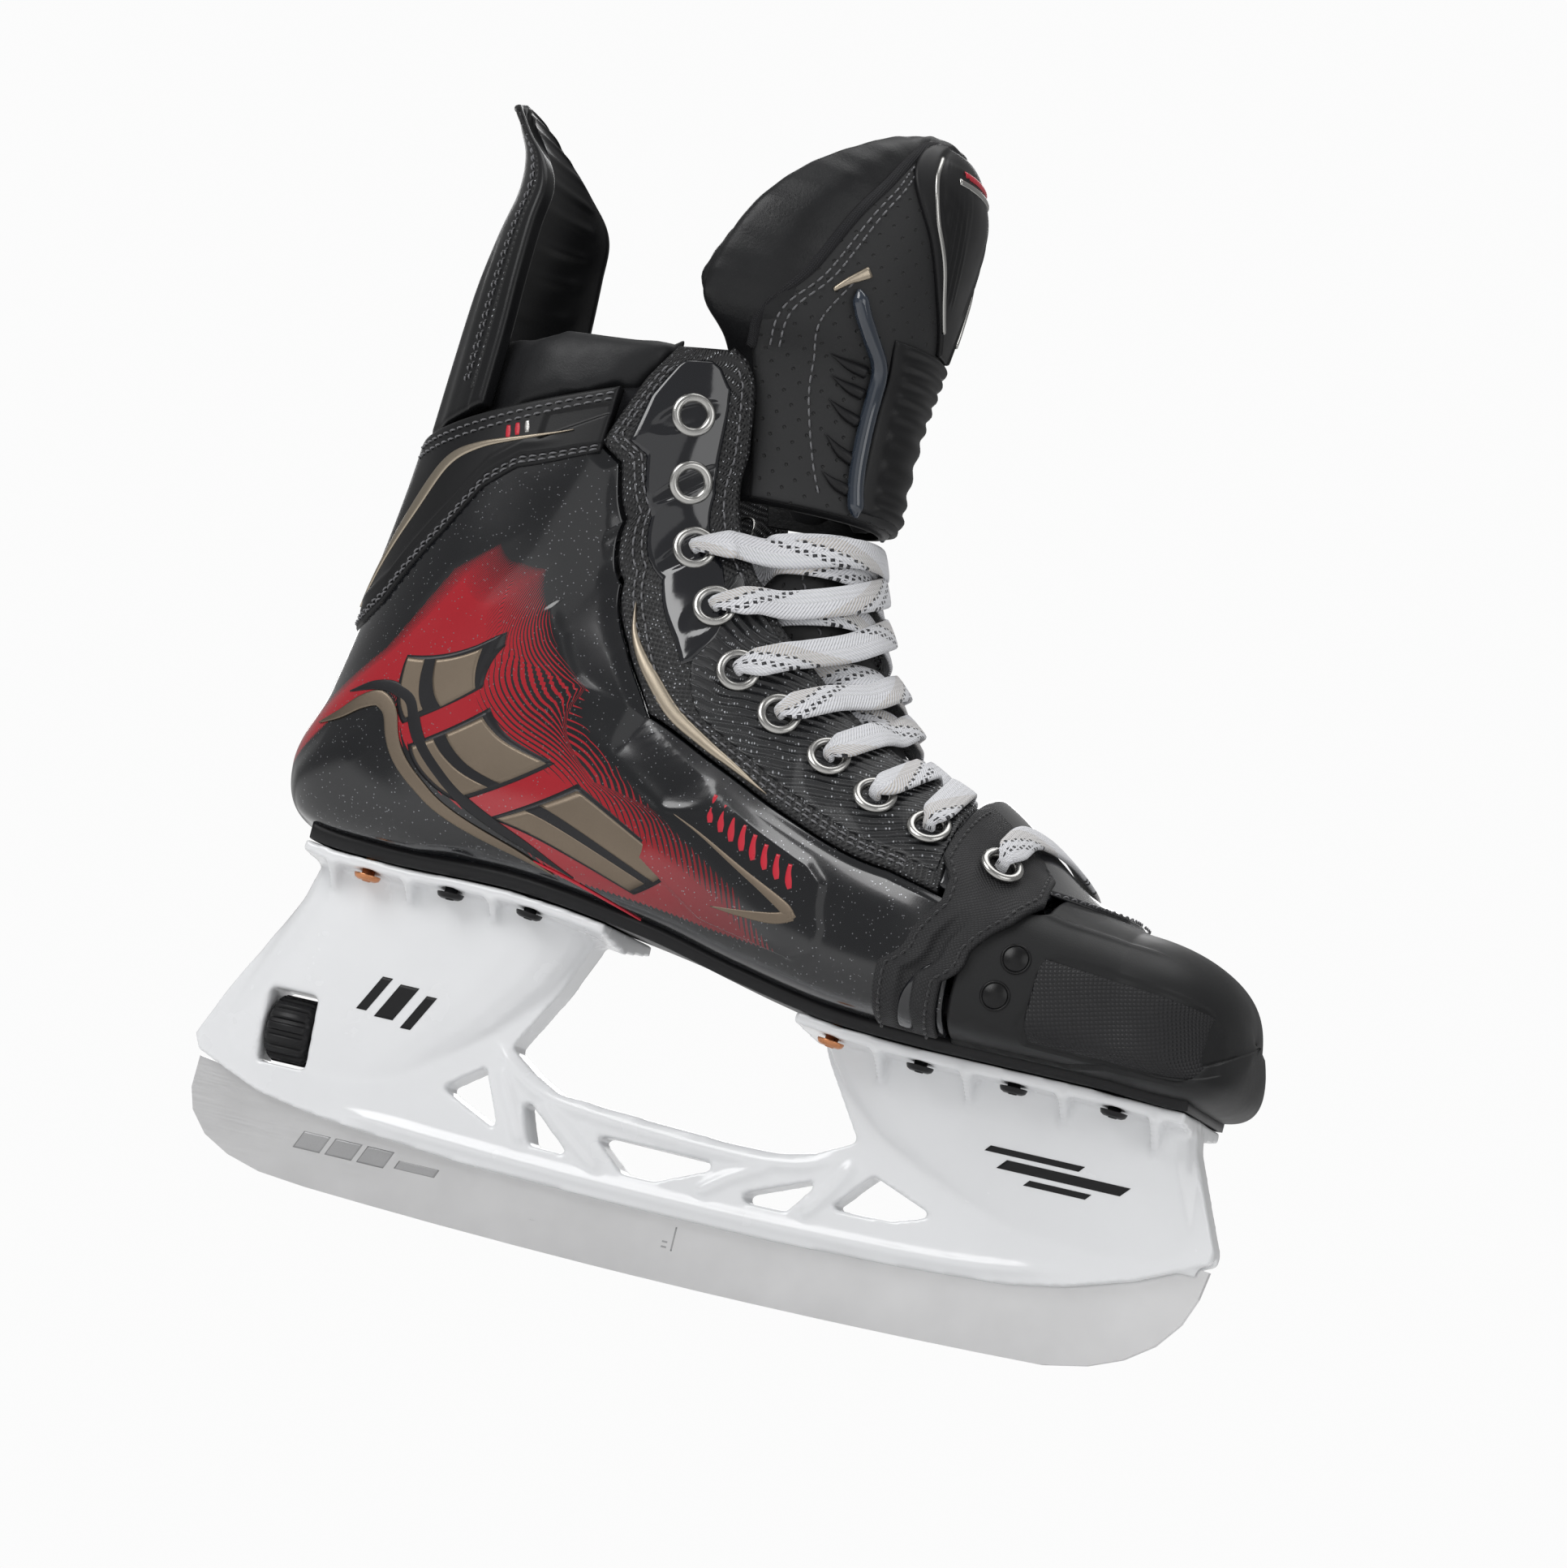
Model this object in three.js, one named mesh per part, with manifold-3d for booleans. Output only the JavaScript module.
// A hockey skate for the right foot: laced boot, moulded blade holder, and a steel runner that a
// thumb dial locks in the holder.
// Millimetres. +X points to the toe, +Y to the inner (medial) side, +Z up. The origin is where the
// runner's rocker meets the ice, at the middle of the blade.
import * as THREE from 'three';
import { mergeVertices } from 'three/addons/utils/BufferGeometryUtils.js';
import Module from 'manifold-3d';

const wasm = await Module();
wasm.setup();

// ---- Driving dimensions -------------------------------------------------------------------------
// Outlines below are written for a skate of these design sizes and scaled to the sizes that follow.
const DESIGN = { length: 290, width: 100, sole: 75, boot: 172 };
const STEEL_LENGTH = 290; // overall length of the runner, which sets the skate's length
const BOOT_WIDTH = 100; // across the ball of the foot
const SOLE_HEIGHT = 75; // ice to the top of the holder under the ball of the foot
const BOOT_HEIGHT = 172; // from there to the top eyelets

const GAP = 0.3; // between pieces that touch
const SWING = 5; // degrees the freed runner drops about its front tang
const SWING_CLEARANCE = 0.6; // slot wall to runner, all through the swing

const STEEL_THICKNESS = 3;
const SLOT_SIDE = 0.3; // each side of the steel in the holder
const STEEL_DEPTH = 4.8; // how far the steel stands up into the holder's rail
const ROCKER_RADIUS = 2300;
const CONTACT_FLAT = 20; // ground flat in the middle of the rocker
const TANG_RADIUS = 7; // front tang, about the swing axis
const TANG_REACH = 11; // thickness of the rear tang along the blade
const LATCH_SLOPE = 11; // degrees the rear tang overhangs the latch

const RAIL_WIDTH = 12; // the holder's lower rail and truss
const FLANGE_THICK = 5.5; // at its middle
const FLANGE_EDGE = 3;
const HOLDER_WALL = 4;
const OUTSOLE = 2.1;

const SHELL_WALL = 3;
const CAP_WALL = 3.4;
const FACING_WALL = 3.5;
const VAMP_WALL = 2.6;
const STRAP_WALL = 2;
const STRAP_SEAT = 0.5; // above the vamp
const TRIM_WALL = 4.5;
const GUARD_WALL = 4.5;
const LINER_WALL = 5;
const PAD_WALL = 8;
const FOOTBED_WALL = 4;
const TONGUE_WALL = 7;
const BADGE_WALL = 1.6;

const EYELET_HOLE = 3.4; // radii
const EYELET_BARREL = 4;
const EYELET_FLANGE = 6;
const EYELET_RIM = 1;
const RIVET_SHANK = 1.8;
const RIVET_HEAD = 3.5;
const RIVET_HEAD_HIGH = 1.2;
const RIVET_TAIL = 3.1;
const RIVET_TAIL_HIGH = 0.9;

const LACE_WIDTH = 8.5;
const LACE_THICK = 1.8;
const LACE_BUNCHED = 3.5; // width where it gathers in an eyelet

const DIAL_RADIUS = 9.3;
const DIAL_LENGTH = 13;
const DIAL_GROOVES = 16;
const DIAL_END_GAP = 0.6;
const SCREW_RADIUS = 3;
const LATCH_TRAVEL = 4.5;
const LATCH_HEAD = 6.5; // length along the blade
const LATCH_WIDTH = 7;
const LATCH_HEIGHT = 11;

// ---- Design coordinates to real ones ------------------------------------------------------------
const along = (x) => x * STEEL_LENGTH / DESIGN.length;
const across = (y) => y * BOOT_WIDTH / DESIGN.width;
const level = (z) => (z <= DESIGN.sole
  ? z * SOLE_HEIGHT / DESIGN.sole
  : SOLE_HEIGHT + (z - DESIGN.sole) * BOOT_HEIGHT / DESIGN.boot);
const outline = (points) => points.map(([x, z]) => new THREE.Vector2(along(x), level(z)));
const lerp = THREE.MathUtils.lerp;
const smooth = THREE.MathUtils.smoothstep;

// Value at t of a curve through [t, value] knots, eased between them.
function through(knots, t) {
  if (t <= knots[0][0]) return knots[0][1];
  for (let i = 1; i < knots.length; i += 1) {
    const [t0, v0] = knots[i - 1];
    const [t1, v1] = knots[i];
    if (t <= t1) return lerp(v0, v1, (t - t0) / (t1 - t0));
  }
  return knots[knots.length - 1][1];
}

// ---- Solids -------------------------------------------------------------------------------------
// Drops triangles that a pole folded flat, and turns the faces outward.
function closed(points, triangles) {
  let geometry = new THREE.BufferGeometry();
  geometry.setAttribute('position', new THREE.Float32BufferAttribute(points.flatMap((p) => p.toArray()), 3));
  geometry.setIndex(triangles.flat());
  geometry = mergeVertices(geometry, 1e-4);
  const index = geometry.getIndex().array;
  const spot = geometry.getAttribute('position');
  const [a, b, c] = [0, 1, 2].map(() => new THREE.Vector3());
  const kept = [];
  let volume = 0;
  for (let i = 0; i < index.length; i += 3) {
    const [p, q, r] = index.slice(i, i + 3);
    if (p !== q && q !== r && r !== p) {
      kept.push([p, q, r]);
      volume += a.fromBufferAttribute(spot, p).dot(b.fromBufferAttribute(spot, q)
        .cross(c.fromBufferAttribute(spot, r)));
    }
  }
  geometry.setIndex(kept.flatMap(([p, q, r]) => (volume > 0 ? [p, q, r] : [p, r, q])));
  return geometry;
}

// Body between two surfaces given over the same square, u = 0..1 by v = 0..1.
// A ring joins v = 1 back to v = 0.
function slab(uSteps, vSteps, top, bottom, ring = false) {
  const points = [];
  for (const surface of [top, bottom]) {
    for (let i = 0; i <= uSteps; i += 1) {
      for (let j = 0; j <= vSteps; j += 1) points.push(surface(i / uSteps, j / vSteps));
    }
  }
  const wide = vSteps + 1;
  const at = (side, i, j) => (side * (uSteps + 1) + i) * wide + (ring ? j % vSteps : j);
  const triangles = [];
  const quad = (a, b, c, d) => triangles.push([a, b, c], [a, c, d]);
  for (let i = 0; i < uSteps; i += 1) {
    for (let j = 0; j < vSteps; j += 1) {
      quad(at(0, i, j), at(0, i + 1, j), at(0, i + 1, j + 1), at(0, i, j + 1));
      quad(at(1, i, j), at(1, i, j + 1), at(1, i + 1, j + 1), at(1, i + 1, j));
    }
  }
  for (let j = 0; j < vSteps; j += 1) {
    quad(at(0, 0, j), at(0, 0, j + 1), at(1, 0, j + 1), at(1, 0, j));
    quad(at(0, uSteps, j + 1), at(0, uSteps, j), at(1, uSteps, j), at(1, uSteps, j + 1));
  }
  if (!ring) {
    for (let i = 0; i < uSteps; i += 1) {
      quad(at(0, i + 1, 0), at(0, i, 0), at(1, i, 0), at(1, i + 1, 0));
      quad(at(0, i, vSteps), at(0, i + 1, vSteps), at(1, i + 1, vSteps), at(1, i, vSteps));
    }
  }
  return closed(points, triangles);
}

function toSolid(geometry) {
  const bare = geometry.clone();
  bare.deleteAttribute('normal');
  bare.deleteAttribute('uv');
  const merged = mergeVertices(bare, 1e-4);
  return new wasm.Manifold(new wasm.Mesh({
    numProp: 3,
    vertProperties: new Float32Array(merged.getAttribute('position').array),
    triVerts: new Uint32Array(merged.getIndex().array),
  }));
}

function toGeometry(solid) {
  const mesh = solid.getMesh();
  const geometry = new THREE.BufferGeometry();
  geometry.setAttribute('position', new THREE.BufferAttribute(mesh.vertProperties, 3));
  geometry.setIndex(new THREE.BufferAttribute(mesh.triVerts, 1));
  return geometry;
}

const join = (...parts) => toGeometry(parts.map(toSolid).reduce((sum, part) => sum.add(part)));
const cut = (body, tools) => toGeometry(
  tools.map(toSolid).reduce((rest, tool) => rest.subtract(tool), toSolid(body)),
);

// Plate standing in the XZ plane, centred across the skate.
function plate(points, thickness, holes = []) {
  const shape = new THREE.Shape(points);
  for (const hole of holes) shape.holes.push(new THREE.Path(hole));
  const geometry = new THREE.ExtrudeGeometry(shape, { depth: thickness, bevelEnabled: false });
  geometry.translate(0, 0, -thickness / 2);
  return geometry.rotateX(Math.PI / 2);
}

const block = (x0, x1, y0, y1, z0, z1) => new THREE.BoxGeometry(x1 - x0, y1 - y0, z1 - z0)
  .translate((x0 + x1) / 2, (y0 + y1) / 2, (z0 + z1) / 2);

// Turned piece: its profile [radius, height] closes on itself or on the axis, which points along `axis`.
function turned(profile, sides, origin, axis) {
  const geometry = new THREE.LatheGeometry(profile.map(([r, h]) => new THREE.Vector2(r, h)), sides);
  const turn = new THREE.Quaternion().setFromUnitVectors(new THREE.Vector3(0, 1, 0), axis);
  geometry.applyQuaternion(turn).translate(origin.x, origin.y, origin.z);
  geometry.deleteAttribute('normal');
  geometry.deleteAttribute('uv');
  const merged = mergeVertices(geometry, 1e-4);
  const spot = merged.getAttribute('position');
  const points = Array.from(
    { length: spot.count },
    (_, i) => new THREE.Vector3().fromBufferAttribute(spot, i),
  );
  const index = merged.getIndex().array;
  const triangles = Array.from({ length: index.length / 3 }, (_, i) => [...index.slice(3 * i, 3 * i + 3)]);
  return closed(points, triangles);
}

// ---- The boot's form ----------------------------------------------------------------------------
// Slices across the boot, from the toe box back over the instep and up to the collar. Each is a plane
// from a point on the sole or heel line to a point on the throat line:
// [sole x, z, throat x, z, half width, where it is widest 0..1, squareness below, above, middle y].
const SLICES = [
  [112, 77.9, 110, 119.3, 44, 0.45, 5.0, 2.6, 3.0],
  [85, 77.9, 84, 127.0, 49, 0.42, 5.0, 2.4, 3.0],
  [60, 78.1, 61, 142.5, 50, 0.38, 4.5, 2.2, 2.5],
  [33, 79.7, 38, 153.0, 47, 0.38, 4.4, 2.1, 1.5],
  [5, 84.7, 18, 168.5, 43, 0.40, 4.2, 2.1, 1.0],
  [-22, 90.7, 5, 186.0, 41, 0.42, 4.2, 2.1, 0.5],
  [-60, 95.6, -2, 202.0, 40, 0.46, 4.2, 2.1, 0],
  [-100, 95.6, -5, 213.0, 39.5, 0.46, 4.2, 2.1, 0],
  [-127, 99.0, -7, 222.0, 39.5, 0.45, 3.4, 2.1, 0],
  [-135.8, 113, -8, 229.0, 40, 0.45, 2.7, 2.1, 0],
  [-131, 133, -9, 235.0, 41, 0.46, 2.4, 2.1, 0],
  [-126, 164, -10, 241.0, 41.5, 0.48, 2.3, 2.1, 0],
  [-121.5, 200, -11, 247.0, 41, 0.48, 2.3, 2.1, 0],
  [-119.5, 240, -12, 253.0, 40, 0.48, 2.3, 2.2, 0],
];
const TOE = { length: 31.5, y: 3, z: 99, dip: -2, roundness: 2.35, bluntness: 5 };

function sliceAt(t) {
  const last = SLICES.length - 1;
  const i = Math.min(Math.floor(Math.max(t, 0)), last - 1);
  const f = Math.min(Math.max(t, 0), last) - i;
  return SLICES[i].map((_, k) => {
    const [b, c] = [SLICES[i][k], SLICES[i + 1][k]];
    const a = i > 0 ? SLICES[i - 1][k] : 2 * b - c;
    const d = i + 2 <= last ? SLICES[i + 2][k] : 2 * c - b;
    const [m, n] = [(c - a) / 2, (d - b) / 2];
    return (2 * f ** 3 - 3 * f ** 2 + 1) * b + (f ** 3 - 2 * f ** 2 + f) * m
      + (-2 * f ** 3 + 3 * f ** 2) * c + (f ** 3 - f ** 2) * n;
  });
}

// Point of the form before scaling. c runs round the slice: 0 on the throat line, -1 and +1 on the
// sole line, negative on the outer (lateral) side. Past +-1 it carries on up the other side.
function designPoint(t, c) {
  const round = c < -1 ? c + 2 : c > 1 ? c - 2 : c;
  const [bx, bz, tx, tz, half, widest, below, above, middle] = sliceAt(t);
  const side = round < 0 ? -1 : 1;
  const reach = Math.abs(round);
  let high;
  let out;
  if (reach <= 0.5) {
    const angle = (0.5 - reach) * Math.PI;
    high = widest + (1 - widest) * Math.sin(angle) ** (2 / above);
    out = half * Math.abs(Math.cos(angle)) ** (2 / above);
  } else {
    const angle = (1 - reach) * Math.PI;
    high = widest * (1 - Math.abs(Math.cos(angle)) ** (2 / below));
    out = half * Math.sin(angle) ** (2 / below);
  }
  const p = new THREE.Vector3(lerp(bx, tx, high), middle + side * out, lerp(bz, tz, high));
  if (t >= 0) return p;
  const power = 2 / lerp(TOE.roundness, TOE.bluntness, smooth(reach, 0.5, 1));
  const angle = Math.min(-t, 1) * Math.PI / 2;
  const shrink = t <= -1 ? 0 : Math.cos(angle) ** power;
  const ahead = Math.sin(angle) ** power;
  const centre = new THREE.Vector3(p.x, TOE.y, TOE.z);
  return p.sub(centre).multiplyScalar(shrink).add(centre)
    .add(new THREE.Vector3(TOE.length * ahead, 0, TOE.dip * ahead));
}

function form(t, c) {
  const p = designPoint(t, c);
  return new THREE.Vector3(along(p.x), across(p.y), level(p.z));
}

function formNormal(t, c) {
  if (t <= -1) return new THREE.Vector3(1, 0, 0); // the tip of the toe
  const step = 0.02;
  const low = Math.max(t, step - 1);
  const du = form(low + step, c).sub(form(low - step, c));
  const dv = form(low, c + step / 4).sub(form(low, c - step / 4));
  return du.cross(dv).normalize().negate();
}

// Point `out` millimetres outside the form.
const offForm = (t, c, out) => form(t, c).addScaledVector(formNormal(t, c), out);

// ---- Lines on the form, as [t, |c|] -------------------------------------------------------------
const THROAT_EDGE = [[1.9, 0.13], [2.6, 0.13], [3.9, 0.185], [5.4, 0.25], [6.3, 0.255], [8, 0.235],
  [10, 0.23], [12, 0.25], [12.5, 0.27], [12.8, 0.305]];
const FACING_EDGE = [[1.9, 0.415], [2.6, 0.41], [4.8, 0.465], [5.9, 0.49], [6.8, 0.43], [7.9, 0.38],
  [9.5, 0.375], [10.95, 0.42], [11.45, 0.46], [12.3, 0.425], [12.8, 0.39]];
const CAP_EDGE = [ // [|c|, t]
  [0, 0.2], [0.05, 0.25], [0.165, 0.8], [0.3, 0.85], [0.36, 1.2], [0.41, 1.6], [1, 1.66],
];
const STRAP_FRONT = [[0.1, 1.25], [0.16, 0.98], [0.29, 0.9], [0.4, 1.13], [0.5, 1.5], [0.54, 1.73],
  [0.84, 1.75]]; // [|c|, t]
const STRAP_BACK = [[0.1, 2.04], [0.34, 2.1], [0.38, 1.94], [0.43, 1.94], [0.5, 2.17], [0.54, 2.42],
  [0.84, 2.4]];
// How far the tongue and laces stand above the form along its middle.
const CREST = [[2, 0], [3, 1], [4, 9], [5, 13.5], [6, 15], [7, 17], [13, 24]];
const throatEdge = (t) => through(THROAT_EDGE, t);
const facingEdge = (t) => through(FACING_EDGE, t);
const SEAM = 0.006; // gap between pieces that meet edge to edge, in c
const STEP = 0.02; // and in t

function crest(t, c) {
  const share = Math.min(Math.abs(c) / throatEdge(t), 1);
  return through(CREST, t) * (1 - share ** 2.2);
}

// Skin on the form between two lines of c at each t.
function skin(tFrom, tTo, tSteps, cSteps, cStart, cEnd, outer, inner) {
  const place = (u, v) => {
    const t = lerp(tFrom, tTo, u);
    return [t, lerp(cStart(t), cEnd(t), v)];
  };
  return slab(
    tSteps,
    cSteps,
    (u, v) => offForm(...place(u, v), typeof outer === 'number' ? outer : outer(...place(u, v))),
    (u, v) => offForm(...place(u, v), typeof inner === 'number' ? inner : inner(...place(u, v))),
  );
}

// Skin on the form between two lines of t at each c.
function band(cFrom, cTo, cSteps, tSteps, tStart, tEnd, outer, inner, ring = false) {
  const place = (u, v) => {
    const c = lerp(cFrom, cTo, v);
    return [lerp(tStart(Math.abs(c)), tEnd(Math.abs(c)), u), c];
  };
  return slab(
    tSteps,
    cSteps,
    (u, v) => offForm(...place(u, v), outer),
    (u, v) => offForm(...place(u, v), inner),
    ring,
  );
}

// ---- Model --------------------------------------------------------------------------------------
const skate = new THREE.Group();
const FINISH = {
  steel: { color: 0xb8babd, metalness: 1, roughness: 0.3 },
  whitePlastic: { color: 0xf1f2f4, metalness: 0, roughness: 0.35 },
  blackPlastic: { color: 0x17181a, metalness: 0, roughness: 0.45 },
  composite: { color: 0x16171b, metalness: 0, roughness: 0.2 },
  facing: { color: 0x0d0e12, metalness: 0, roughness: 0.25 },
  rubber: { color: 0x1d1e20, metalness: 0, roughness: 0.8 },
  felt: { color: 0x1b1c1f, metalness: 0, roughness: 0.9 },
  leather: { color: 0x141518, metalness: 0, roughness: 0.5 },
  lace: { color: 0xeeeef0, metalness: 0, roughness: 0.9 },
  nickel: { color: 0xc9cbce, metalness: 1, roughness: 0.2 },
  copper: { color: 0xb06a42, metalness: 1, roughness: 0.3 },
};

function add(name, geometry, finish) {
  const mesh = new THREE.Mesh(geometry, new THREE.MeshStandardMaterial(FINISH[finish]));
  mesh.name = name;
  skate.add(mesh);
}

// ---- Sole line, which the outsole, flanges, rivets and footbed follow ---------------------------
const SOLE_EDGE = 0.87; // c where the flat of the sole ends
function solePoint(t, v, drop) {
  const left = form(t, -SOLE_EDGE);
  const right = form(t, SOLE_EDGE);
  const middle = form(t, 1);
  return new THREE.Vector3(middle.x, lerp(left.y, right.y, v), middle.z - drop);
}

// t of the slice whose sole point is at design x.
function sliceUnder(x) {
  let [low, high] = [-0.5, 8.5];
  for (let i = 0; i < 40; i += 1) {
    const mid = (low + high) / 2;
    if (designPoint(mid, 1).x > x) low = mid;
    else high = mid;
  }
  return low;
}

function soleNormal(t) {
  const run = form(t + 0.05, 1).sub(form(t - 0.05, 1));
  return new THREE.Vector3(-run.z, 0, run.x).normalize().multiplyScalar(-1);
}

// How far the form has risen above its sole line at `out` from the middle, and the reverse.
function riseAt(t, out) {
  const middle = form(t, 1);
  for (let c = 1; c > 0.5; c -= 0.004) {
    const p = form(t, c);
    if (Math.abs(p.y - middle.y) >= out) return p.z - middle.z;
  }
  return 0;
}
function halfWidthAt(t, rise) {
  const middle = form(t, 1);
  for (let c = 1; c > 0.5; c -= 0.004) {
    const p = form(t, c);
    if (p.z - middle.z >= rise) return Math.abs(p.y - middle.y);
  }
  return 0;
}

const OUTSOLE_TOP = 2 * GAP; // both below the form's sole line
const FLANGE_TOP = OUTSOLE_TOP + OUTSOLE + GAP;

const soleSlab = (x0, x1, steps, wide, inset, top, bottom) => {
  const [t0, t1] = [sliceUnder(x0), sliceUnder(x1)];
  const widthAt = (v) => lerp(inset, 1 - inset, v);
  return slab(
    steps,
    wide,
    (u, v) => solePoint(lerp(t0, t1, u), widthAt(v), top(Math.abs(2 * v - 1))),
    (u, v) => solePoint(lerp(t0, t1, u), widthAt(v), bottom(Math.abs(2 * v - 1))),
  );
};

// ---- Rivets -------------------------------------------------------------------------------------
const RIVETS = [
  { x: -102.6, y: 20.5, copper: true }, { x: -78.9, y: 20.5 }, { x: -54.6, y: 20.5 },
  { x: 36.3, y: 24, copper: true }, { x: 61.3, y: 26 }, { x: 86.7, y: 26 }, { x: 114.3, y: 24 },
];
const RIVET_GRIP = FLANGE_TOP + FLANGE_EDGE + (FLANGE_THICK - FLANGE_EDGE) / 2;

function rivetSeat({ x, y }, side) {
  const t = sliceUnder(x);
  const at = form(t, 1);
  const out = across(y - RIVET_HEAD) + RIVET_HEAD; // the head stays clear of the pedestal
  const rise = riseAt(t, out);
  at.y += side * out;
  return { at, up: soleNormal(t), rise };
}

function rivet(seat) {
  const bottom = -RIVET_GRIP - GAP;
  const tail = Math.max(CAP_WALL, SHELL_WALL) + seat.rise + 3 * GAP;
  return turned([
    [0, bottom - RIVET_HEAD_HIGH],
    [RIVET_HEAD, bottom],
    [RIVET_SHANK, bottom],
    [RIVET_SHANK, tail],
    [RIVET_TAIL, tail],
    [0, tail + RIVET_TAIL_HIGH],
  ], 8, seat.at, seat.up);
}

const rivetHole = (seat) => turned([
  [0, -RIVET_GRIP - 12], [RIVET_SHANK + GAP, -RIVET_GRIP - 12], [RIVET_SHANK + GAP, 8], [0, 8],
], 8, seat.at, seat.up);

const rivetSeats = RIVETS.flatMap(
  (spot) => [-1, 1].map((side) => ({ ...spot, side, ...rivetSeat(spot, side) })),
);
const rivetHoles = rivetSeats.map(rivetHole);
rivetSeats.forEach((seat, i) => {
  const where = `${seat.x < 0 ? 'rear' : 'front'}_rivet_${seat.side < 0 ? 'outer' : 'inner'}_${i}`;
  add(where, rivet(seat), seat.copper ? 'copper' : 'blackPlastic');
});

// ---- Runner -------------------------------------------------------------------------------------
// Underside of the holder's rail, rear to front.
const RAIL_UNDERSIDE = [
  [-144.5, 32.6], [-134, 28.4], [-124.6, 24.9], [-111, 22.6], [-98.3, 21.2], [-62.4, 18.5],
  [-12, 17.4], [27.5, 17.4], [62.9, 18.7], [92.4, 20.6], [108, 23.6], [126, 29.2], [145, 38]];
const PIVOT = { x: along(118), z: level(45) };
const LATCH_AXIS = level(43.5);
const TANG_FACE = along(-97.6); // rear face of the rear tang, at the latch's height
const lean = (z) => TANG_FACE - (z - LATCH_AXIS) * Math.tan(THREE.MathUtils.degToRad(LATCH_SLOPE));

function runnerOutline() {
  const half = CONTACT_FLAT / 2;
  const rock = (x) => (Math.abs(x) <= half ? 0 : (x * x - half * half) / (2 * ROCKER_RADIUS));
  const points = [];
  // rear end, rounded down to the rocker
  for (const [x, z] of [[-145, 31], [-145.2, 22], [-143.2, 16], [-138, 10.2], [-130, 6.2], [-120, 3.6]]) {
    points.push([along(x), level(z)]);
  }
  for (const x of [-106, -88, -66, -44, -24]) points.push([along(x), rock(along(x))]);
  points.push([-half, 0], [half, 0]);
  for (const x of [24, 44, 66, 88, 106]) points.push([along(x), rock(along(x))]);
  for (const [x, z] of [[118, 4.9], [127, 8.6], [134.5, 14], [140, 21], [143, 28.5], [144.3, 36]]) {
    points.push([along(x), level(z)]);
  }
  // front tang, round about the swing axis
  points.push([along(138), level(36.6)]);
  for (let i = 0; i <= 6; i += 1) {
    const angle = lerp(-0.25, Math.PI + 0.25, i / 6);
    points.push([PIVOT.x + TANG_RADIUS * Math.cos(angle), PIVOT.z + TANG_RADIUS * Math.sin(angle)]);
  }
  // upper edge inside the rail, front to rear
  const upper = RAIL_UNDERSIDE.filter(([x]) => x > -85 && x < 108).reverse();
  points.push([PIVOT.x - TANG_RADIUS, level(34)]);
  for (const [x, z] of upper) points.push([along(x), level(z) + STEEL_DEPTH]);
  // rear tang
  const tangTop = LATCH_AXIS + LATCH_HEIGHT / 2;
  const tangFoot = LATCH_AXIS - LATCH_HEIGHT / 2 - 1;
  points.push([TANG_FACE + TANG_REACH, level(27.5)], [TANG_FACE + TANG_REACH, tangTop]);
  points.push([lean(tangTop), tangTop], [lean(tangFoot), tangFoot], [lean(tangFoot), level(29)]);
  points.push([along(-126), level(30)], [along(-139), level(30)]);
  return points.map(([x, z]) => new THREE.Vector2(x, z));
}

const turnAbout = (points, degrees) => {
  const a = THREE.MathUtils.degToRad(degrees);
  return points.map((p) => new THREE.Vector2(
    PIVOT.x + (p.x - PIVOT.x) * Math.cos(a) - (p.y - PIVOT.z) * Math.sin(a),
    PIVOT.z + (p.x - PIVOT.x) * Math.sin(a) + (p.y - PIVOT.z) * Math.cos(a),
  ));
};

// Outline grown by `by` all round, its points listed anticlockwise.
function grown(points, by) {
  const count = points.length;
  return points.map((p, i) => {
    const before = points[(i + count - 1) % count];
    const after = points[(i + 1) % count];
    const one = p.clone().sub(before).normalize();
    const two = after.clone().sub(p).normalize();
    const out = new THREE.Vector2(one.y + two.y, -one.x - two.x).normalize();
    const spread = Math.max(0.5, out.dot(new THREE.Vector2(one.y, -one.x)));
    return p.clone().addScaledVector(out, by / spread);
  });
}

const runnerShape = runnerOutline();
add('runner', plate(runnerShape, STEEL_THICKNESS), 'steel');
const slotWidth = STEEL_THICKNESS + 2 * SLOT_SIDE;
const slotTools = [0, 0.2, 0.4, 0.6, 0.8, 1].map((share) => plate(
  grown(turnAbout(runnerShape, SWING * share), SWING_CLEARANCE),
  slotWidth,
));

// ---- Latch and dial -----------------------------------------------------------------------------
const DIAL_FROM = along(-126.3);
const DIAL_TO = DIAL_FROM + DIAL_LENGTH;
const WINDOW = [DIAL_FROM - DIAL_END_GAP, DIAL_TO + DIAL_END_GAP];
const axisX = new THREE.Vector3(1, 0, 0);

function latchBolt() {
  const [low, high] = [LATCH_AXIS - LATCH_HEIGHT / 2, LATCH_AXIS + LATCH_HEIGHT / 2];
  const rear = TANG_FACE - LATCH_HEAD;
  const front = (z) => lean(z) - GAP - 0.1;
  const head = plate([
    new THREE.Vector2(rear, low), new THREE.Vector2(front(low), low),
    new THREE.Vector2(front(high), high), new THREE.Vector2(rear, high),
  ], LATCH_WIDTH);
  const tip = DIAL_FROM + LATCH_TRAVEL + 1;
  const screw = turned(
    [[0, tip], [SCREW_RADIUS, tip], [SCREW_RADIUS, rear + 1], [0, rear + 1]],
    16,
    new THREE.Vector3(0, 0, LATCH_AXIS),
    axisX,
  );
  return join(head, screw);
}
add('latch_bolt', latchBolt(), 'steel');

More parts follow.
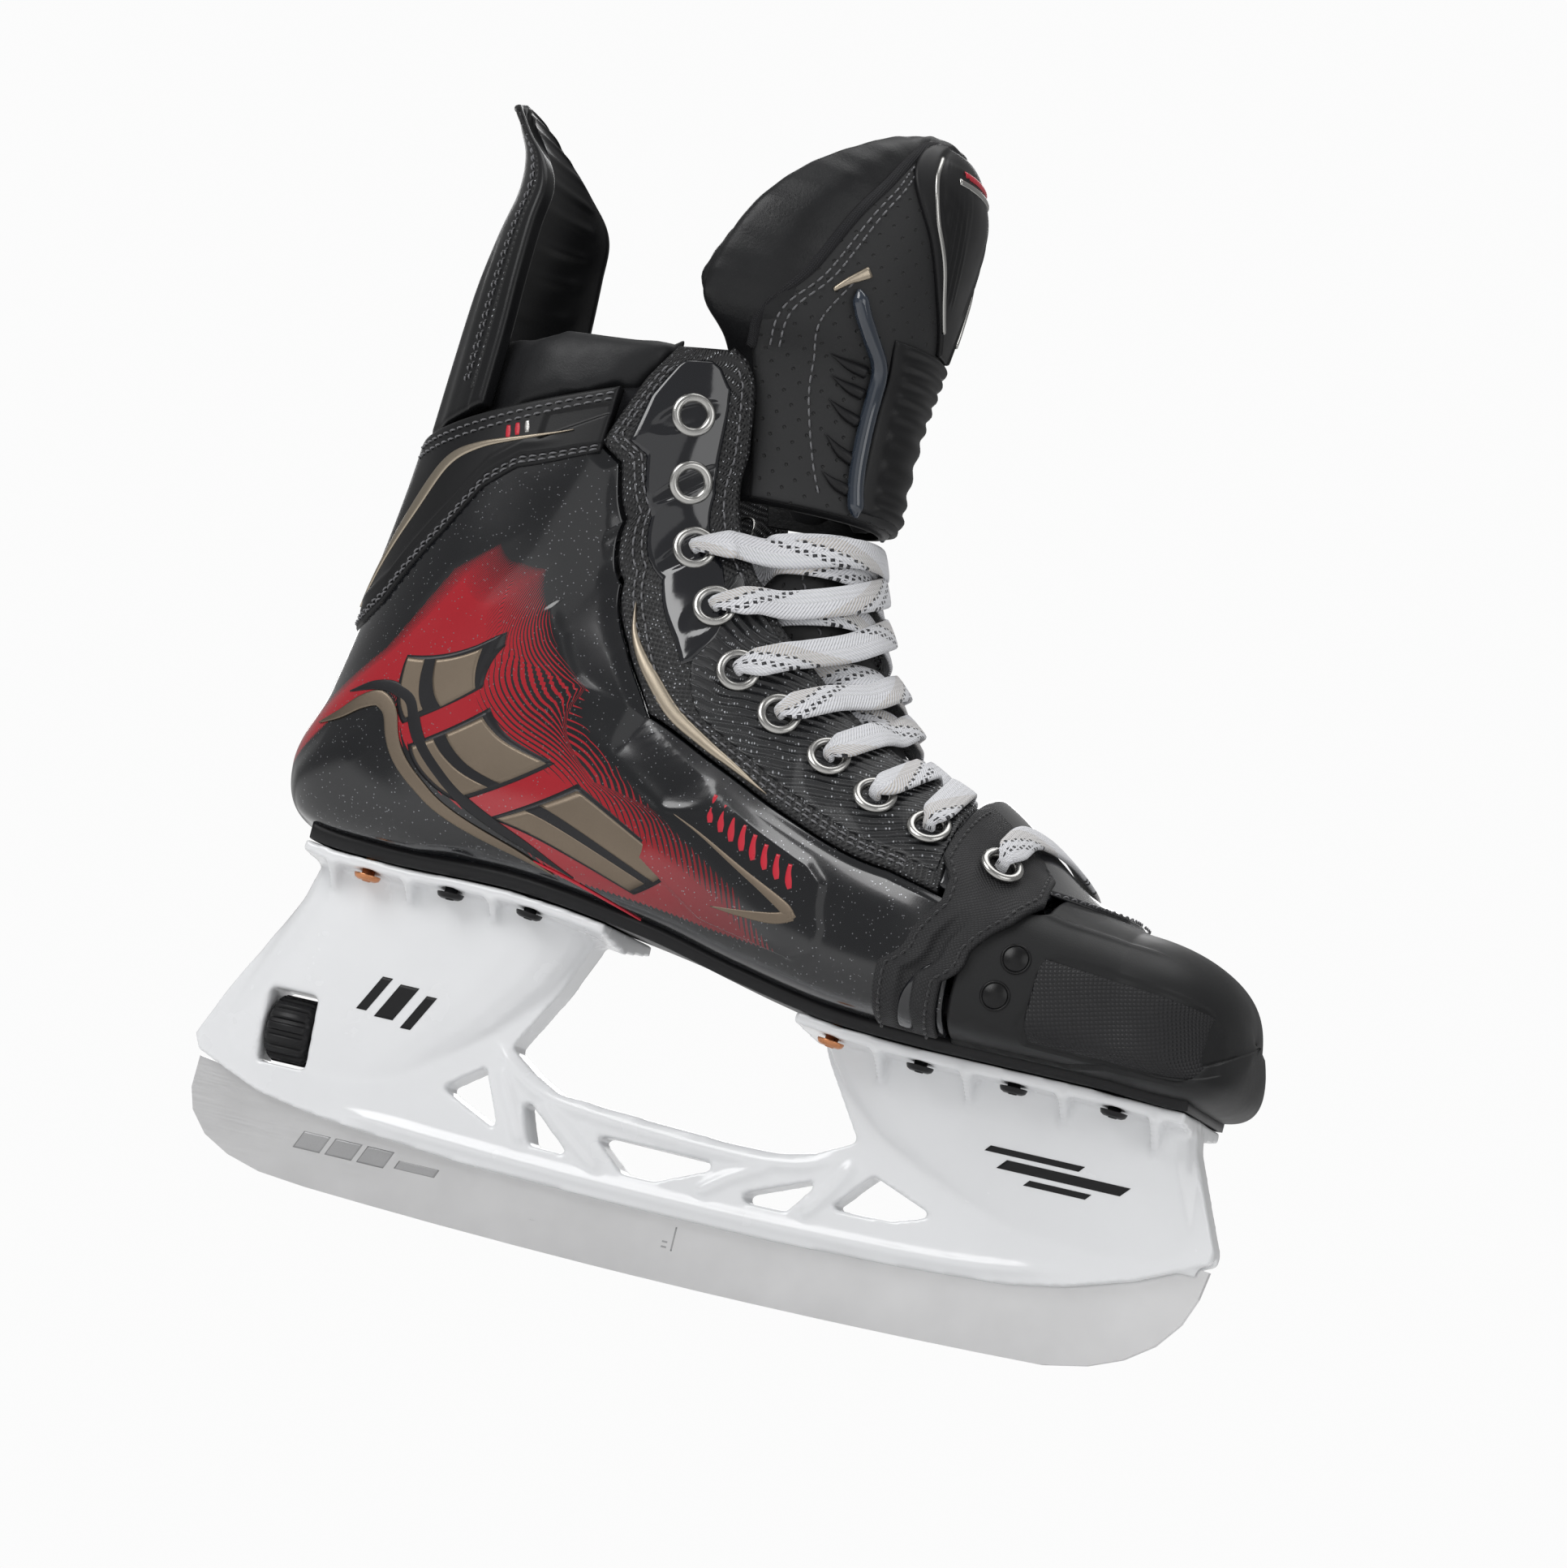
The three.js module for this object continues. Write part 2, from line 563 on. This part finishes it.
function dial() {
  const rim = [];
  for (let i = 0; i < DIAL_GROOVES; i += 1) {
    for (const [share, depth] of [[0.1, 0], [0.5, 0], [0.65, 0.8], [0.95, 0.8]]) {
      const angle = (i + share) / DIAL_GROOVES * 2 * Math.PI;
      const radius = DIAL_RADIUS - depth;
      rim.push(new THREE.Vector2(radius * Math.cos(angle), radius * Math.sin(angle)));
    }
  }
  const shape = new THREE.Shape(rim);
  const bore = new THREE.Path().absarc(0, 0, SCREW_RADIUS + GAP, 0, 2 * Math.PI, true);
  shape.holes.push(new THREE.Path(bore.getPoints(5)));
  const geometry = new THREE.ExtrudeGeometry(shape, { depth: DIAL_LENGTH, bevelEnabled: false });
  return geometry.rotateY(Math.PI / 2).translate(DIAL_FROM, 0, LATCH_AXIS);
}
add('release_dial', dial(), 'blackPlastic');

// ---- Blade holder -------------------------------------------------------------------------------
const BEAM_TOP = [[44.7, 48.4], [34, 43], [24, 40.8], [8.9, 40.6], [-14.8, 41.6], [-40, 43], [-48, 46.9],
  [-55.9, 52.2]];
const TRUSS_HOLES = [
  [[-73, 37.5], [-61.8, 45.6], [-54.4, 29.4]],
  [[-49.2, 38.6], [-46.8, 38.6], [-32.8, 27], [-45.1, 27.8]],
  [[-28, 34.6], [6, 34.2], [7.6, 32.4], [-7.8, 25.8], [-17.3, 25.8]],
  [[16.4, 28], [37.6, 36.6], [30, 26.2], [18, 25.8]],
  [[41.2, 29.6], [51, 40.6], [70, 33.6], [58, 29.8]],
];
const holderSide = outline([
  ...RAIL_UNDERSIDE, [145.2, 41], [140, 53], [134.4, 66.3], [133.6, 71], [30, 71], [33, 65.9],
  ...BEAM_TOP, [-46, 70], [-40, 84], [-121, 86.5], [-131, 68], [-140.2, 50.8], [-146.5, 36.6],
]);

// Hollow post from the rail up to the flange: [z, rear x, front x, half width] at each level.
const REAR_POST = [[33, -143, -84, 6], [45, -141.4, -72, 8.2], [56, -136.4, -59, 10], [70, -129.6, -47, 12.5],
  [80, -125, -42, 14.5], [93, -121, -38, 16.5]];
const FRONT_POST = [
  [34, 84, 142, 6], [44, 62, 142.6, 8.2], [52, 47, 139.4, 10], [62, 37, 135.4, 13], [69, 32, 133.6, 16],
  [76, 28, 133, 19]];
const POST_SQUARE = 4;

function post(levels, shrink = 0) {
  const ringPoint = (u, v) => {
    const f = u * (levels.length - 1);
    const i = Math.min(Math.floor(f), levels.length - 2);
    const [z, rear, front, half] = levels[i].map((value, k) => lerp(value, levels[i + 1][k], f - i));
    const angle = v * 2 * Math.PI;
    const power = (a) => Math.sign(a) * Math.abs(a) ** (2 / POST_SQUARE);
    const reach = (along(front) - along(rear)) / 2 - 1.4 * shrink;
    return new THREE.Vector3(
      along((front + rear) / 2) + reach * power(Math.cos(angle)),
      (half - shrink) * power(Math.sin(angle)),
      level(z),
    );
  };
  const middle = (u) => {
    const p = ringPoint(u, 0);
    return new THREE.Vector3(p.x - 20, 0, p.z);
  };
  const sides = 20;
  const rows = (levels.length - 1);
  const points = [];
  const triangles = [];
  for (let i = 0; i <= rows; i += 1) {
    for (let j = 0; j < sides; j += 1) points.push(ringPoint(i / rows, j / sides));
  }
  const at = (i, j) => i * sides + (j % sides);
  for (let i = 0; i < rows; i += 1) {
    for (let j = 0; j < sides; j += 1) {
      triangles.push([at(i, j), at(i, j + 1), at(i + 1, j + 1)], [at(i, j), at(i + 1, j + 1), at(i + 1, j)]);
    }
  }
  points.push(middle(0), middle(1));
  for (let j = 0; j < sides; j += 1) {
    triangles.push([points.length - 2, at(0, j + 1), at(0, j)]);
    triangles.push([points.length - 1, at(rows, j), at(rows, j + 1)]);
  }
  return closed(points, triangles);
}

const flangeUnderside = (edge) => FLANGE_TOP + lerp(FLANGE_THICK, FLANGE_EDGE, edge);
const flange = (x0, x1) => soleSlab(x0, x1, 7, 2, 0.04, () => FLANGE_TOP, flangeUnderside);

// A post's upper rows, from a floor over the beam to an open top at height `top`.
function hollowRows(rows, top) {
  const kept = rows.slice(2);
  const floor = 4;
  return kept.map(([z, rear, front, half], i) => {
    if (i === 0) return [z + floor, rear, front, half];
    return [i === kept.length - 1 ? top : z, rear, front, half];
  });
}

function holder() {
  const upright = plate(holderSide, RAIL_WIDTH, TRUSS_HOLES.map(outline));
  const posts = [post(REAR_POST), post(FRONT_POST)];
  const flanges = [flange(-123, -33), flange(133, 25)];
  const raw = toSolid(join(upright, ...posts));
  // the posts stop under the flanges
  const above = [[-127, -2], [135.5, 0]].map(
    ([from, to]) => soleSlab(from, to, 10, 1, -0.2, () => -60, () => FLANGE_TOP),
  );
  const trimmed = above.map(toSolid).reduce((rest, tool) => rest.subtract(tool), raw);
  const body = flanges.map(toSolid).reduce((sum, part) => sum.add(part), trimmed);
  const hollows = [
    post(hollowRows(REAR_POST, 130), HOLDER_WALL),
    post(hollowRows(FRONT_POST, 110), HOLDER_WALL),
  ];
  const wallSide = 40;
  const dialWindow = block(
    WINDOW[0],
    WINDOW[1],
    -wallSide,
    wallSide,
    LATCH_AXIS - DIAL_RADIUS - 1,
    LATCH_AXIS + DIAL_RADIUS + 1,
  );
  const latchRear = TANG_FACE - LATCH_HEAD - LATCH_TRAVEL - SWING_CLEARANCE;
  const latchRoom = block(
    latchRear,
    TANG_FACE + TANG_REACH + 3,
    -LATCH_WIDTH / 2 - GAP,
    LATCH_WIDTH / 2 + GAP,
    level(31),
    LATCH_AXIS + LATCH_HEIGHT / 2 + SWING_CLEARANCE,
  );
  const screwBore = turned(
    [
      [0, DIAL_FROM],
      [SCREW_RADIUS + GAP, DIAL_FROM],
      [SCREW_RADIUS + GAP, latchRear + 1],
      [0, latchRear + 1],
    ],
    16,
    new THREE.Vector3(0, 0, LATCH_AXIS),
    axisX,
  );
  const tools = [...slotTools, dialWindow, latchRoom, screwBore, ...hollows, ...rivetHoles];
  return toGeometry(tools.map(toSolid).reduce((rest, tool) => rest.subtract(tool), body));
}
add('blade_holder', holder(), 'whitePlastic');

// ---- Boot ---------------------------------------------------------------------------------------
const SHELL_TOP = 11.05;
const outsole = soleSlab(134, -124, 20, 1, 0.03, () => OUTSOLE_TOP, () => OUTSOLE_TOP + OUTSOLE);
add('outsole', cut(outsole, rivetHoles), 'blackPlastic');

const aroundBack = [(t) => -facingEdge(t) - SEAM, (t) => facingEdge(t) + SEAM - 2];
const shellStart = CAP_EDGE[CAP_EDGE.length - 1][1] + STEP;
const shell = skin(
  shellStart,
  SHELL_TOP,
  16,
  20,
  ...aroundBack,
  0,
  -SHELL_WALL,
);
add('boot_shell', cut(shell, rivetHoles), 'composite');

const capEdge = (c) => through(CAP_EDGE, c);
const cap = band(-1, 1, 22, 8, () => -1, capEdge, 0, -CAP_WALL, true);
add('toe_cap', cut(cap, rivetHoles), 'rubber');

// ---- Eyelets ------------------------------------------------------------------------------------
// On the outer side, collar to toe: [t, |c|]. The inner row leads it by a little towards the toe.
const EYELETS = [
  [11.45, 0.335], [9.75, 0.305], [7.65, 0.3], [6.3, 0.33], [5.38, 0.355], [4.58, 0.335], [3.75, 0.305],
  [3.08, 0.295], [2.38, 0.29], [1.5, 0.285]];
const INNER_LEAD = 0.3;
const innerT = (i) => EYELETS[i][0] - INNER_LEAD * Math.max(0, (i - 6) / 3) ** 2;
const eyeletSeat = (i, side) => {
  const t = side < 0 ? EYELETS[i][0] : innerT(i);
  const c = side * EYELETS[i][1];
  const lift = i === EYELETS.length - 1 ? STRAP_SEAT + STRAP_WALL : 0; // the last sits on the toe strap
  const name = `eyelet_${side < 0 ? 'outer' : 'inner'}_${i + 1}`;
  return { t, c, lift, at: form(t, c), out: formNormal(t, c), name };
};
const eyeletSeats = [-1, 1].flatMap((side) => EYELETS.map((_, i) => eyeletSeat(i, side)));
const eyeletBack = (seat) => (seat.lift > 0 ? -VAMP_WALL : -FACING_WALL);
const eyeletHole = (seat) => turned([
  [0, -14], [EYELET_BARREL + GAP, -14], [EYELET_BARREL + GAP, 12], [0, 12],
], 10, seat.at, seat.out);
const eyeletHoles = (side, onStrap) => eyeletSeats
  .filter(({ c, lift }) => Math.sign(c) === side && (lift > 0) === onStrap)
  .map(eyeletHole);

for (const seat of eyeletSeats) {
  const seatTop = seat.lift + 3 * GAP;
  add(seat.name, turned([
    [EYELET_HOLE, eyeletBack(seat) - GAP],
    [EYELET_BARREL, eyeletBack(seat) - GAP],
    [EYELET_BARREL, seatTop],
    [EYELET_FLANGE, seatTop],
    [EYELET_HOLE, seatTop + EYELET_RIM],
    [EYELET_HOLE, eyeletBack(seat) - GAP],
  ], 10, seat.at, seat.out), 'nickel');
}

// ---- Facings, vamp and toe straps ---------------------------------------------------------------
// the inner strap leads like the eyelet it holds
const strapLead = (side, c) => (side > 0 ? INNER_LEAD * (1 - smooth(c, 0.34, 0.5)) : 0);
const FACING_FROM = 2.02;
const FACING_TO = 12.8;
for (const [name, side] of [['outer', -1], ['inner', 1]]) {
  const facing = skin(
    FACING_FROM,
    FACING_TO,
    18,
    3,
    (t) => side * throatEdge(t),
    (t) => side * facingEdge(t),
    0,
    -FACING_WALL,
  );
  add(`facing_${name}`, cut(facing, eyeletHoles(side, false)), 'facing');
  const strap = band(
    side * STRAP_FRONT[0][0],
    side * STRAP_FRONT[STRAP_FRONT.length - 1][0],
    12,
    3,
    (c) => through(STRAP_FRONT, c) - strapLead(side, c),
    (c) => through(STRAP_BACK, c) - strapLead(side, c) / 2,
    STRAP_SEAT + STRAP_WALL,
    STRAP_SEAT,
  );
  add(`toe_strap_${name}`, cut(strap, eyeletHoles(side, true)), 'rubber');
}

const VAMP_TO = FACING_FROM - STEP;
const VAMP_SIDE = 0.4;
const vamp = band(-VAMP_SIDE, VAMP_SIDE, 14, 5, (c) => capEdge(c) + 5 * STEP, () => VAMP_TO, 0, -VAMP_WALL);
add('vamp', cut(vamp, [...eyeletHoles(-1, true), ...eyeletHoles(1, true)]), 'facing');

// ---- Collar trim, collar pad and liners ---------------------------------------------------------
const COLLAR_TOP = 13;
const TRIM_TOP = 12.2;
add('collar_trim', skin(SHELL_TOP + STEP, TRIM_TOP, 3, 20, ...aroundBack, 0, -TRIM_WALL), 'blackPlastic');
// the pad steps inward where the tendon guard wraps it
const padOutside = (t, c) => {
  const reach = Math.abs(c < -1 ? c + 2 : c);
  return lerp(0, -GUARD_WALL - GAP * 3, smooth(reach, 0.58, 0.66));
};
add('collar_pad', skin(
  TRIM_TOP + STEP * 2,
  COLLAR_TOP,
  3,
  22,
  ...aroundBack,
  padOutside,
  (t, c) => padOutside(t, c) - PAD_WALL,
), 'leather');
const LINER_OUT = SHELL_WALL + 4 * GAP; // from the form's surface
for (const [name, side] of [['outer', -1], ['inner', 1]]) {
  add(`liner_${name}`, skin(
    4.2,
    10.9,
    8,
    4,
    () => side * 0.5,
    () => side * 0.72,
    -LINER_OUT,
    -LINER_OUT - LINER_WALL,
  ), 'felt');
}

// ---- Footbed ------------------------------------------------------------------------------------
const FOOTBED_UNDER = CAP_WALL + 3 * GAP + RIVET_TAIL_HIGH + 1.2;
function footbed() {
  const rows = [0.4, 1, 2, 3, 4, 5, 6, 7, 7.3];
  const flatHeel = form(6, 1).z;
  const spot = (t, v, high) => {
    const middle = form(t, 1);
    const half = halfWidthAt(t, FOOTBED_UNDER) - SHELL_WALL - 3.5;
    const z = t >= 6 && t <= 7 ? flatHeel : middle.z;
    return new THREE.Vector3(middle.x, middle.y + half * (2 * v - 1), z + high);
  };
  const rowAt = (u) => rows[Math.round(u * (rows.length - 1))];
  return slab(
    rows.length - 1,
    1,
    (u, v) => spot(rowAt(u), v, FOOTBED_UNDER + FOOTBED_WALL),
    (u, v) => spot(rowAt(u), v, FOOTBED_UNDER),
  );
}
add('footbed', footbed(), 'felt');

// ---- Tongue -------------------------------------------------------------------------------------
const LACE_UNDER = FACING_WALL + 3.1; // depth of a lace that runs under a facing
const LACE_CROSS = LACE_THICK + 2 * GAP; // one lace above another where they cross
const LACE_LIFT = 2.6; // between a lace and the tongue it bears on
const TONGUE_UNDER = LACE_UNDER + LACE_THICK + LACE_LIFT;
const TONGUE_TUCK = 0.05;
// The tongue lies under every lace: deep at the facings, close under the crossings in the middle.
const tongueTop = (t, c) => {
  const share = Math.min(Math.abs(c) / throatEdge(t), 1);
  const middle = through(CREST, t) - LACE_CROSS - LACE_THICK - LACE_LIFT;
  const entry = 5 * (1 - smooth(t, 2.1, 2.9)); // it dips in under the vamp
  return lerp(middle - entry, -TONGUE_UNDER, share ** 2);
};
add('tongue_lower', skin(
  VAMP_TO + 0.12,
  6.1,
  9,
  8,
  (t) => -throatEdge(t) - TONGUE_TUCK,
  (t) => throatEdge(t) + TONGUE_TUCK,
  (t, c) => tongueTop(t, c),
  (t, c) => tongueTop(t, c) - TONGUE_WALL,
), 'felt');

// Upper tongue: front line [x, z] and side edge [x, y, z] at each level, bottom to top.
const TONGUE_ROWS = [
  [12, 211, -29, 20, 210], [11, 222, -32, 21, 222], [11, 240, -37, 24, 240], [12, 252, -41, 28, 251],
  [12.6, 262, -47, 37, 261], [13, 275, -44, 40, 273], [14.2, 292, -37, 38, 289],
  [14, 303, -26, 32, 302], [10.5, 312, -13, 23, 312],
  [6, 317, -4, 12, 317.6], [3, 319, 0, 4, 319.4],
];
const TONGUE_SQUARE = 2.3;
function tonguePoint(f, s) {
  const i = Math.min(Math.floor(f), TONGUE_ROWS.length - 2);
  const [fx, fz, wx, wy, wz] = TONGUE_ROWS[i].map((value, k) => lerp(value, TONGUE_ROWS[i + 1][k], f - i));
  const angle = Math.abs(s) * Math.PI / 2;
  const back = 1 - Math.max(Math.cos(angle), 0) ** (2 / TONGUE_SQUARE);
  const out = Math.sin(angle) ** (2 / TONGUE_SQUARE);
  return new THREE.Vector3(
    along(lerp(fx, wx, back)),
    across(Math.sign(s) * wy * out),
    level(lerp(fz, wz, back)),
  );
}
function offTongue(f, s, out) {
  const low = Math.min(Math.max(f, 0.02), TONGUE_ROWS.length - 1.02);
  const side = THREE.MathUtils.clamp(s, -0.97, 0.97);
  const du = tonguePoint(low + 0.02, side).sub(tonguePoint(low - 0.02, side));
  const dv = tonguePoint(low, side + 0.01).sub(tonguePoint(low, side - 0.01));
  return tonguePoint(f, s).addScaledVector(dv.cross(du).normalize(), out);
}
const tongueSkin = (from, to, steps, sides, wide, outer, inner) => slab(
  steps,
  sides,
  (u, v) => offTongue(lerp(from, to, u), wide(u) * (2 * v - 1), outer),
  (u, v) => offTongue(lerp(from, to, u), wide(u) * (2 * v - 1), typeof inner === 'number' ? inner : inner(u)),
);
const TONGUE_TOP = TONGUE_ROWS.length - 1;
add('tongue_upper', tongueSkin(
  0,
  TONGUE_TOP,
  11,
  10,
  () => 1,
  0,
  (u) => -TONGUE_WALL * (1 - 0.5 * u ** 6),
), 'felt');
const BADGE_SEAT = 4 * GAP; // over the curve of the tongue
const badge = tongueSkin(4.1, 6.7, 5, 4, (u) => 0.12 + 0.4 * u, BADGE_SEAT + BADGE_WALL, BADGE_SEAT);
add('tongue_badge', badge, 'rubber');
const guardStrip = tongueSkin(
  0.3,
  3.95,
  6,
  4,
  (u) => lerp(0.42, 0.34, u),
  BADGE_SEAT + BADGE_WALL,
  BADGE_SEAT,
);
add('lace_guard', guardStrip, 'blackPlastic');

// ---- Tendon guard -------------------------------------------------------------------------------
// Rear line [x, z], then how far forward, how wide and how much higher its wings are, bottom to top.
const GUARD_ROWS = [
  [-121.2, 209.4, 22.5, 35.4, 10.5], [-120, 232, 22, 35.5, 8.5], [-118.6, 252, 20.5, 35, 6],
  [-116.2, 270, 18, 33.5, 3],
  [-113.6, 284, 15.5, 31, 0], [-114.4, 295, 12.5, 27, -3], [-118, 303, 9, 21, -4], [-121, 308, 6.5, 15, -3],
  [-122.4, 310.4, 4, 10, -1],
];
const GUARD_WRAP = 1.25; // radians of the wing's arc
function guardPoint(f, s) {
  const i = Math.min(Math.floor(f), GUARD_ROWS.length - 2);
  const [x, z, ahead, wide, rise] = GUARD_ROWS[i].map((value, k) => lerp(value, GUARD_ROWS[i + 1][k], f - i));
  const angle = s * GUARD_WRAP;
  const forward = (1 - Math.cos(angle)) / (1 - Math.cos(GUARD_WRAP));
  return new THREE.Vector3(
    along(x + ahead * forward),
    across(wide * Math.sin(angle) / Math.sin(GUARD_WRAP)),
    level(z + rise * forward),
  );
}
function offGuard(f, s, out) {
  const low = Math.min(Math.max(f, 0.02), GUARD_ROWS.length - 1.02);
  const du = guardPoint(low + 0.02, s).sub(guardPoint(low - 0.02, s));
  const dv = guardPoint(low, s + 0.01).sub(guardPoint(low, s - 0.01));
  return guardPoint(f, s).addScaledVector(du.cross(dv).normalize(), out);
}
add('tendon_guard', slab(
  11,
  10,
  (u, v) => offGuard(u * (GUARD_ROWS.length - 1), 2 * v - 1, 0),
  (u, v) => offGuard(u * (GUARD_ROWS.length - 1), 2 * v - 1, -GUARD_WALL * (1 - 0.4 * u ** 4)),
), 'blackPlastic');

// ---- Lace ---------------------------------------------------------------------------------------
// One flat lace: a bar across the lowest eyelets, then two ends that cross up the throat. Each end
// comes out of an eyelet, passes over the tongue, and goes under the other facing to the next one.
const LACE_LEVEL = 0.7;
const LACED_TO = 2; // index of the highest laced eyelets
const LACE_OVER = 5 * GAP + EYELET_RIM + LACE_THICK / 2; // height of a lace over an eyelet's rim
const TUCK_T = 8.5; // where the ends are tucked under the facings, above the last eyelets

// t at which the laced front at c meets the plane through `origin` across `normal`.
function sliceOnPlane(c, origin, normal, from, to) {
  let [low, high] = [from, to];
  const gap = (t) => offForm(t, c, crest(t, c)).sub(origin).dot(normal);
  const sign = Math.sign(gap(high));
  for (let i = 0; i < 24; i += 1) {
    const mid = (low + high) / 2;
    if (Math.sign(gap(mid)) === sign) high = mid;
    else low = mid;
  }
  return high;
}

// Normal of the plane in which a lace runs square over the crest from one seat to another.
function crossingPlane(from, to) {
  const chord = to.at.clone().sub(from.at);
  const ridge = (t) => offForm(t, 0, crest(t, 0));
  let forward = new THREE.Vector3(1, 0, 0.5);
  let normal = null;
  for (let i = 0; i < 3; i += 1) {
    normal = chord.clone().cross(forward).normalize();
    const t = sliceOnPlane(0, from.at, normal, 0.6, 12);
    const run = ridge(t + 0.1).sub(ridge(t - 0.1));
    const upright = 1 - LACE_LEVEL * smooth(t, 4, 6); // the upper ones run almost level
    forward = new THREE.Vector3(run.z, 0, -run.x * upright);
  }
  return normal;
}

// Crossing from one seat to another on the far side: points over the facing, the tongue and under.
function crossing(from, to, overOther) {
  const side = Math.sign(from.c);
  const normal = crossingPlane(from, to);
  const where = (c) => sliceOnPlane(c, from.at, normal, 0.6, 12);
  const above = overOther ? LACE_CROSS : 0; // over the lace that crosses the other way
  const near = throatEdge(from.t);
  const far = throatEdge(to.t);
  const over = (c, out) => [where(c), c, out, LACE_WIDTH];
  const onTongue = (c, high) => {
    const t = where(c);
    return [t, c, tongueTop(t, c) + LACE_THICK / 2 + LACE_LIFT + high, LACE_WIDTH];
  };
  return [
    over(from.c - side * 0.036, from.lift + LACE_OVER),
    over(side * (near + 0.015), from.lift + LACE_OVER * 0.75),
    over(side * near * 0.85, LACE_THICK),
    onTongue(side * near * 0.5, above),
    onTongue(side * near * 0.2, above),
    onTongue(-side * near * 0.2, above),
    onTongue(-side * far * 0.5, above * 0.7),
    onTongue(-side * far * 0.82, 0),
    over(-side * (far - 0.02), -LACE_UNDER),
    over(to.c + side * 0.03, -LACE_UNDER),
  ];
}

// Through an eyelet from inside to outside.
function upThrough(seat, side) {
  const at = (c, out, width) => [seat.t, c, out, width];
  return [
    at(seat.c - side * 0.002, -LACE_UNDER * 0.95, LACE_BUNCHED * 1.1),
    at(seat.c, -LACE_UNDER + 2, LACE_BUNCHED),
    at(seat.c, -FACING_WALL / 2, LACE_BUNCHED),
    at(seat.c, seat.lift + 1, LACE_BUNCHED),
    at(seat.c - side * 0.002, seat.lift + LACE_OVER * 0.9, LACE_BUNCHED * 1.1),
  ];
}

function laceEnd(startSide) {
  let side = startSide;
  const seatOf = (i, s) => eyeletSeats[(s < 0 ? 0 : EYELETS.length) + i];
  const last = EYELETS.length - 1;
  const first = seatOf(last, side);
  const route = [
    [first.t, first.c * 0.45, first.lift + LACE_OVER * 0.8 + crest(first.t, first.c * 0.45), LACE_WIDTH],
    [first.t, first.c * 0.84, first.lift + LACE_OVER, LACE_WIDTH],
    ...upThrough(first, side).reverse(),
  ];
  for (let i = last - 1; i >= LACED_TO; i -= 1) {
    const next = seatOf(i, -side);
    if (i === last - 1) {
      // from under the lowest eyelet straight across, beneath the vamp and both facings
      const normal = crossingPlane(first, next);
      const above = side < 0 ? LACE_CROSS : 0;
      for (const share of [0.85, 0.5, 0, -0.5, -0.85]) {
        const c = (share > 0 ? first.c : -next.c) * share;
        const level = share === 0 ? above : 0;
        route.push([sliceOnPlane(c, first.at, normal, 0.6, 12), c, -LACE_UNDER + level, LACE_WIDTH]);
      }
    }
    route.push(...upThrough(next, -side));
    side = -side;
    const target = i > LACED_TO
      ? seatOf(i - 1, -side)
      : { t: TUCK_T, c: -side * 0.34, at: form(TUCK_T, -side * 0.34), out: formNormal(TUCK_T, -side * 0.34) };
    route.push(...crossing(next, target, side < 0));
  }
  return route;
}

function lace() {
  const start = laceEnd(-1).reverse();
  const end = laceEnd(1);
  const bar = eyeletSeats[EYELETS.length - 1];
  const middle = [bar.t - INNER_LEAD / 2, 0, bar.lift + LACE_OVER * 0.8, LACE_WIDTH];
  const route = [...start, middle, ...end];
  const spots = route.map(([t, c, out]) => offForm(t, c, out));
  const points = [];
  const triangles = [];
  spots.forEach((p, i) => {
    const ahead = spots[Math.min(i + 1, spots.length - 1)];
    const behind = spots[Math.max(i - 1, 0)];
    const run = ahead.clone().sub(behind).normalize();
    const [t, c, , width] = route[i];
    const wide = form(t + 0.05, c).sub(form(t - 0.05, c));
    wide.addScaledVector(run, -wide.dot(run)).normalize();
    const thick = run.clone().cross(wide);
    for (const [a, b] of [[1, 1], [1, -1], [-1, -1], [-1, 1]]) {
      points.push(p.clone().addScaledVector(wide, a * width / 2).addScaledVector(thick, b * LACE_THICK / 2));
    }
  });
  const rings = spots.length;
  for (let i = 0; i + 1 < rings; i += 1) {
    for (let k = 0; k < 4; k += 1) {
      const [a, b] = [4 * i + k, 4 * i + (k + 1) % 4];
      triangles.push([a, b, b + 4], [a, b + 4, a + 4]);
    }
  }
  const tail = 4 * (rings - 1);
  triangles.push([0, 2, 1], [0, 3, 2], [tail, tail + 1, tail + 2], [tail, tail + 2, tail + 3]);
  return closed(points, triangles);
}
add('lace', lace(), 'lace');

export default skate;
